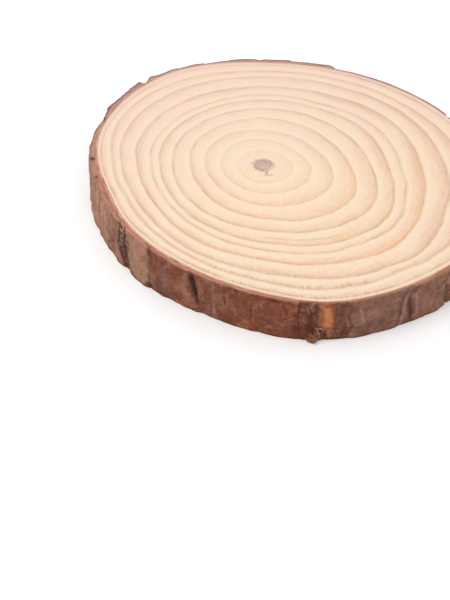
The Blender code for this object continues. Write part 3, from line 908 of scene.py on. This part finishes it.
def barkMaterial():
    bench = nodeBench("roughBark")
    times, plus, most, centred = bench.times, bench.plus, bench.most, bench.centred
    smooth, blend, shade = bench.smooth, bench.blend, bench.shade
    attribute, polarGrain = bench.attribute, bench.polarGrain
    bench.way = attribute("pithWay", "Vector")
    height = attribute("heightMm")
    across = attribute("across")
    flakeTint = attribute("flakeTint")
    flakeEdge = attribute("flakeEdge")
    flaky = attribute("flaky")
    darkMark = attribute("darkMark")
    streaks = polarGrain(52, height, 0.16, 4, 0.65)
    blotches = polarGrain(13, height, 0.16, 4, 0.62)
    mottle = polarGrain(42, height, 0.5, 4, 0.68)
    specks = polarGrain(120, height, 1.3, 3, 0.7)
    # ground colour by zones
    patchy = centred(plus(times(blotches, 0.6), times(mottle, 0.4)))
    byFlake = times(flakeTint, flaky, 0.2)
    zone = {}
    for name, spread in barkCoat["zoneSpread"].items():
        zone[name] = plus(times(patchy, spread), byFlake, attribute(name + "Bark"), clamp=True)
    colour = blend(zone["red"], barkCoat["plainBrown"], barkCoat["redBrown"])
    colour = blend(zone["tan"], colour, barkCoat["tanBark"])
    greyShare = times(most(zone["grey"], attribute("greyMark")), 0.55)
    colour = blend(greyShare, colour, barkCoat["greyFilm"])
    colour = blend(times(attribute("redMark"), 0.6), colour, barkCoat["redMark"])
    colour = shade(colour, smooth(streaks, 0.25, 0.75, 0.95, 1.05))
    colour = shade(colour, smooth(blotches, 0.25, 0.75, 0.84, 1.18))
    spread = times(plus(times(flaky, 0.28), 0.11), smooth(mottle, 0.25, 0.75, -1, 1))
    colour = shade(colour, plus(spread, 1))
    # thin lines that bend along the plates, as the layers of the bark do
    flow = times(polarGrain(12, height, 0.062, 1.5, 0.45), barkCoat["flowLines"])
    flow = bench.calc("FRACT", flow)
    flow = bench.calc("SUBTRACT", smooth(flow, 0, 0.16, 1, 0), smooth(flow, 0.84, 1))
    flow = times(flow, smooth(blotches, 0.38, 0.56, 0, 0.26))
    colour = shade(colour, plus(flow, 1))
    colour = shade(colour, smooth(specks, 0.25, 0.75, 0.88, 1.13))
    colour = shade(colour, smooth(attribute("flake"), -1, 1, 0.84, 1.16))
    # painted shade as thin dark outlines on some flakes, with a painted highlight as a slightly paler
    # lip inside
    some = smooth(plus(blotches, times(flakeTint, 0.15)), 0.48, 0.62)
    outline = times(smooth(flakeEdge, 0.1, 0.8, 0.55, 0), some, flaky)
    colour = shade(colour, bench.calc("SUBTRACT", 1, outline))
    lipHighlight = times(smooth(flakeEdge, 0.4, 0.9), smooth(flakeEdge, 0.9, 1.6, 1, 0))
    lipHighlight = times(lipHighlight, some, flaky, smooth(flakeTint, 0.2, 0.7, 0, 0.45))
    colour = shade(colour, plus(1, lipHighlight))
    colour = blend(attribute("deepMark"), colour, barkCoat["deepBrown"])
    colour = blend(times(attribute("lightMark"), 0.9), colour, barkCoat["paleFlake"])
    # resin run, with a painted highlight along its middle
    resinMark = attribute("resinMark")
    ragged = times(centred(mottle), 1.2)
    resinShare = smooth(plus(resinMark, times(ragged, 0.5)), 0.12, 0.62)
    resinHighlight = smooth(plus(resinMark, ragged), 0.45, 1.05)
    resinTone = blend(resinHighlight, barkCoat["resinDark"], barkCoat["resin"])
    resinTone = shade(resinTone, smooth(specks, 0.3, 0.7, 0.85, 1.15))
    colour = blend(resinShare, colour, resinTone)
    # crumbs: pale and dark grains side by side, the dark ones in the cracks' shaded colour
    grains = plus(times(attribute("crumb"), 0.3), polarGrain(95, height, 1.15, 2, 0.6))
    crumbTone = blend(smooth(grains, 0.44, 0.6), barkCoat["shadedCrack"], barkCoat["paleCrumb"])
    crumbTone = blend(attribute("lumpMark"), crumbTone, barkCoat["lumpTone"])
    crumbShare = plus(most(attribute("crumbMark"), attribute("lumpMark")), times(centred(mottle), 0.8))
    colour = blend(smooth(crumbShare, 0.3, 0.8, 0, 0.8), colour, crumbTone)
    # cracks: their own dark colour with painted shade, darker where they cut deeper and along the dark
    # marks
    crackShade = most(smooth(attribute("crackDepth"), 0.3, 2.2, 0, 0.85), darkMark)
    crackShade = times(crackShade, smooth(specks, 0.2, 0.7, 1, 0.75), clamp=True)
    colour = blend(crackShade, colour, barkCoat["shadedCrack"])
    # painted shade darkens the lower edge toward the underside, and the wall turns paler just under the
    # sawn face
    low = plus(height, times(centred(blotches), 4))
    colour = blend(smooth(low, 0, 1.8, 0.55, 0), colour, barkCoat["deepBrown"])
    paleTop = plus(height, times(centred(mottle), 3))
    paleTop = smooth(paleTop, rim["thickness"] - 1, rim["thickness"], 0, 0.5)
    colour = blend(paleTop, colour, barkCoat["dullLip"])
    # sawn strip: peach next to the wood, then red-brown, with a painted highlight making its outside a
    # little paler on the lit side
    layers = polarGrain(11, across, 5.5, 4, 0.68)
    place = plus(across, times(centred(polarGrain(22, across, 0.8, 3, 0.6)), 0.7))
    inner = blend(smooth(place, 0.05, 0.38), barkCoat["sawnPeach"], barkCoat["sawnBark"])
    litSide = bench.toward(barkCoat["litSide"], 0.35, 0.85)
    lipTone = blend(litSide, barkCoat["dullLip"], barkCoat["sawnLipHighlight"])
    inner = blend(smooth(place, 0.52, 0.8), inner, lipTone)
    rear = bench.toward(barkCoat["farSide"], -0.15, 0.45)
    inner = blend(times(rear, 0.75), inner, barkCoat["sawnRear"])
    inner = shade(inner, smooth(layers, 0.35, 0.65, 0.8, 1.16))
    thinLines = times(smooth(rear, 0, 1, 0.85, 0.4), smooth(layers, 0.47, 0.36))
    inner = blend(thinLines, inner, barkCoat["sawnDark"])
    outline = times(rear, smooth(place, 0.48, 0.9, 0, 0.78))
    inner = blend(outline, inner, barkCoat["rearOutline"])
    # painted shade of the dark marks and of the notches where they reach the strip
    inner = blend(darkMark, inner, barkCoat["shadedCrack"])
    inner = blend(attribute("stripSpot"), inner, barkCoat["shadedCrack"])
    colour = blend(attribute("sawn"), colour, inner)
    rough = smooth(resinShare, 0, 1, barkCoat["roughness"], barkCoat["resinRoughness"])
    bench.coat(colour, rough, barkCoat["gloss"])
    fine = plus(polarGrain(230, height, 2, 3, 0.65), times(blotches, 1.5))
    bench.bump(fine, 0.5, 0.0005)
    return bench.material


def stripSpots(angle, wood, across, out):
    # how much painted shadow lies on the strip at this share across it
    spots = np.zeros_like(angle)
    for at, place, size, strength in barkCoat["stripSpots"]:
        gap = np.radians(angleGap(angle, at)) * wood
        away = (across - place) * out
        spots = np.maximum(spots, strength * np.exp(-(gap ** 2 + away ** 2) / size ** 2))
    return spots


def makeBark():
    columns = barkCoat["columns"]
    wallRows = barkCoat["wallRows"]
    stripRows = barkCoat["stripRows"]
    angle = np.arange(columns) * 360 / columns
    wood = roundTheClock(rim["woodRadius"], angle)
    thick = rim["thickness"]
    shares = np.linspace(1, 0, wallRows + 1)
    grid, heights = np.meshgrid(angle, shares)
    out, wallFacts = barkWall(grid, heights, np.broadcast_to(wood, grid.shape))
    # each row: radius, height, sawn or not, share across the bark, wall row it takes its facts from
    steps = [step / stripRows for step in range(stripRows)]
    rows = [(wood + out[0] * share, thick, 1.0, share, 0) for share in steps]
    rows += [(wood + out[row], thick * shares[row], 0.0, 1.0, row) for row in range(wallRows + 1)]
    rows += [(wood + out[-1] * share, 0.0, 1.0, share, wallRows) for share in reversed(steps)]
    count = len(rows)
    turn = np.radians(angle)
    cosine, sine = np.cos(turn), np.sin(turn)
    places, facts = [], {}
    for radius, z, sawn, across, source in rows:
        places.extend(zip(pithX + radius * cosine, pithY + radius * sine, np.full(columns, z)))
        # marks on the wall reach a little way onto the sawn strip
        reach = max(0.0, (across - 0.45) / 0.55) ** 2 if sawn else 1.0
        row = {name: values[source] * reach for name, values in wallFacts.items()}
        spots = stripSpots(angle, wood, across, out[0]) if sawn and z else 0.0
        row.update(heightMm=z, sawn=sawn, across=across, stripSpot=spots)
        for name, values in row.items():
            facts.setdefault(name, []).append(np.full(columns, values))
    # the strips and the wall unrolled into lines on the sheet, at one scale all over
    lineCount, sheetTop, sheetStep, lineTall = barkCoat["sheetLines"]
    perLine = columns // lineCount
    lengths = [0.0]
    for first, second in zip(rows, rows[1:]):
        run = np.hypot(np.mean(first[0] - second[0]), first[1] - second[1])
        lengths.append(lengths[-1] + float(run))
    tall = lineTall / lengths[-1]
    faces, sheet = [], []
    for row in range(count):
        faces += band(row * columns, (row + 1) % count * columns, columns)
        for column in range(columns):
            line = column // perLine
            left = 0.01 + 0.98 * (column - line * perLine) / perLine
            right = left + 0.98 / perLine
            base = sheetTop - sheetStep * line
            upper = base - lengths[row] * tall
            lower = base - lengths[row + 1] * tall if row < count - 1 else upper - 0.004
            sheet.extend([(left, upper), (left, lower), (right, lower), (right, upper)])
    piece = placePiece("barkCoat", places, faces, sheet, barkMaterial())
    for name, values in facts.items():
        store(piece.data, name, values)
    ways = np.stack([cosine, sine, np.zeros(columns)], 1)
    store(piece.data, "pithWay", np.tile(ways, (count, 1)), "FLOAT_VECTOR")
    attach(piece, "root")
    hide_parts("wood_slice")
    print("bark", len(piece.data.vertices), "points")


makeBark()


# Floor and light

studio = dict(
    floorSize=60,  # metres
    floorDrop=0.0002,
    floorColour=(0.93, 0.93, 0.93),
    floorRoughness=0.9,
    skyStrength=0.9,
    keyPower=10.8,
    keySize=1.2,
    keyPlace=(-0.5, -0.5, 1.4),
)


def makeStudio():
    half = studio["floorSize"] / 2
    mesh = bpy.data.meshes.new("floor")
    corners = [(-half, -half, 0), (half, -half, 0), (half, half, 0), (-half, half, 0)]
    mesh.from_pydata(corners, [], [(0, 1, 2, 3)])
    bench = nodeBench("floorPaint")
    bench.coat(studio["floorColour"], studio["floorRoughness"], 0)
    mesh.materials.append(bench.material)
    floor = addObject("floor", mesh)
    floor.location.z = cadBox[0].z - studio["floorDrop"]
    world = bpy.data.worlds.new("studioAir")
    world.use_nodes = True
    air = world.node_tree.nodes["Background"]
    air.inputs["Color"].default_value = (1, 1, 1, 1)
    air.inputs["Strength"].default_value = studio["skyStrength"]
    scene.world = world
    lamp = bpy.data.lights.new("softKey", "AREA")
    lamp.energy = studio["keyPower"]
    lamp.size = studio["keySize"]
    key = addObject("softKey", lamp)
    key.location = studio["keyPlace"]
    aim = Vector((0, 0, 0)) - key.location
    key.rotation_euler = aim.to_track_quat("-Z", "Y").to_euler()
    scene.view_settings.view_transform = "Standard"
    scene.view_settings.look = "None"


makeStudio()
print("studio set")
